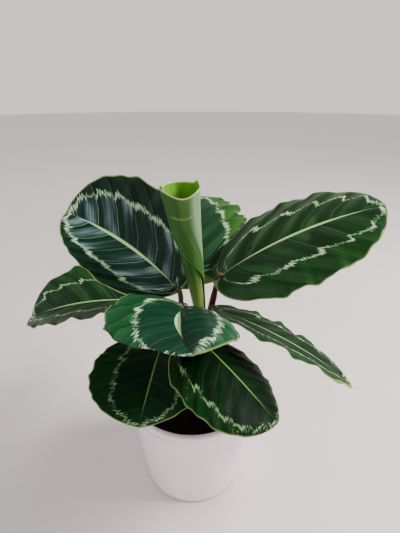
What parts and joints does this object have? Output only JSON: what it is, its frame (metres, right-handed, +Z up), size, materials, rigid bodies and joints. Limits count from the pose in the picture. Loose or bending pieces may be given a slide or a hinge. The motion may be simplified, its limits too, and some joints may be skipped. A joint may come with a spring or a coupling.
{
  "type": "potted foliage plant",
  "caption": "Potted calathea: a tuft of broad oval patterned leaves on thin stalks, with a new leaf still rolled up, standing in a round tapered pot filled with soil.",
  "frame": {"origin": "centre of the pot's flat underside, which stands on z = 0", "axes": "+Z up along the pot's axis; the plant is seen from -Y, and +X is to the right"},
  "size_m": [0.3471, 0.2812, 0.3445],
  "materials": {
    "pot_white": "smooth, glossy white",
    "dark_soil": "loose, matte, nearly black",
    "leaf_green": "satin dark green blade with a pale ring and midrib",
    "young_green": "satin yellow-green",
    "stalk_maroon": "satin, dark red-brown"
  },
  "bodies": {
    "root": {"pot": "pot_white", "soil": "dark_soil", "leaf_upper_left": "leaf_green", "leaf_far_left": "leaf_green", "leaf_back": "leaf_green", "leaf_right": "leaf_green", "leaf_low_right": "leaf_green", "leaf_front": "leaf_green", "leaf_front_left": "leaf_green", "leaf_front_right": "leaf_green", "leaf_rolled": "young_green", "petiole_upper_left": "stalk_maroon", "petiole_far_left": "stalk_maroon", "petiole_back": "stalk_maroon", "petiole_right": "stalk_maroon", "petiole_low_right": "stalk_maroon", "petiole_front": "stalk_maroon", "petiole_front_left": "stalk_maroon", "petiole_front_right": "stalk_maroon", "petiole_rolled": "young_green"}
  },
  "joints": []
}
